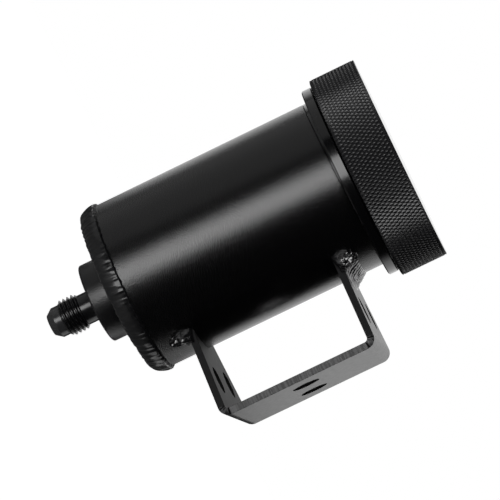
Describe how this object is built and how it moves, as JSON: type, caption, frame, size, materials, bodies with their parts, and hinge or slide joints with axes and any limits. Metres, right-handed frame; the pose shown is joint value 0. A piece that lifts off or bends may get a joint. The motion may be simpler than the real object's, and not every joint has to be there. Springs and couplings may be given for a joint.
{
  "type": "brake fluid reservoir",
  "caption": "Round welded aluminium canister with a knurled screw cap, a male flare outlet at its base and a folded side bracket.",
  "frame": {"origin": "centre of the bracket's back face, between its two bolt holes", "axes": "+Y out of the bracket's back face, +Z along the canister towards the cap, +X across the bracket"},
  "size_m": [0.0612, 0.079, 0.1113],
  "materials": {
    "body_tube": "satin black coating over drawn tube",
    "base_plate": "satin black coating",
    "base_weld": "gloss black coating over a rippled bead",
    "outlet_bung": "bright black anodised, turned",
    "neck_ring": "black anodised, turned",
    "screw_cap": "black anodised, diamond knurled",
    "cap_seal": "matt black",
    "mounting_bracket": "satin black coating over cut and folded sheet",
    "bracket_weld": "gloss black coating over a rippled fillet"
  },
  "bodies": {
    "canister": {"body_tube": "body_tube", "base_plate": "base_plate", "base_weld": "base_weld", "outlet_bung": "outlet_bung", "neck_ring": "neck_ring", "mounting_bracket": "mounting_bracket", "bracket_weld_upper": "bracket_weld", "bracket_weld_lower": "bracket_weld", "bracket_weld_lower_far": "bracket_weld"},
    "seal": {"cap_seal": "cap_seal"},
    "cap": {"screw_cap": "screw_cap"}
  },
  "joints": [
    {"name": "cap_lift", "type": "slide", "parent": "canister", "child": "seal", "axis": [0, 0, 1], "range_m": [0, 0.009]},
    {"name": "cap_turn", "type": "hinge", "parent": "seal", "child": "cap", "pos_m": [0, -0.04835, 0.0441], "axis": [0, 0, 1], "range_deg": [0, 1080]}
  ],
  "couplings": [
    {"joint": "cap_lift", "follows": "cap_turn", "m_per_rad": 0.000477}
  ]
}
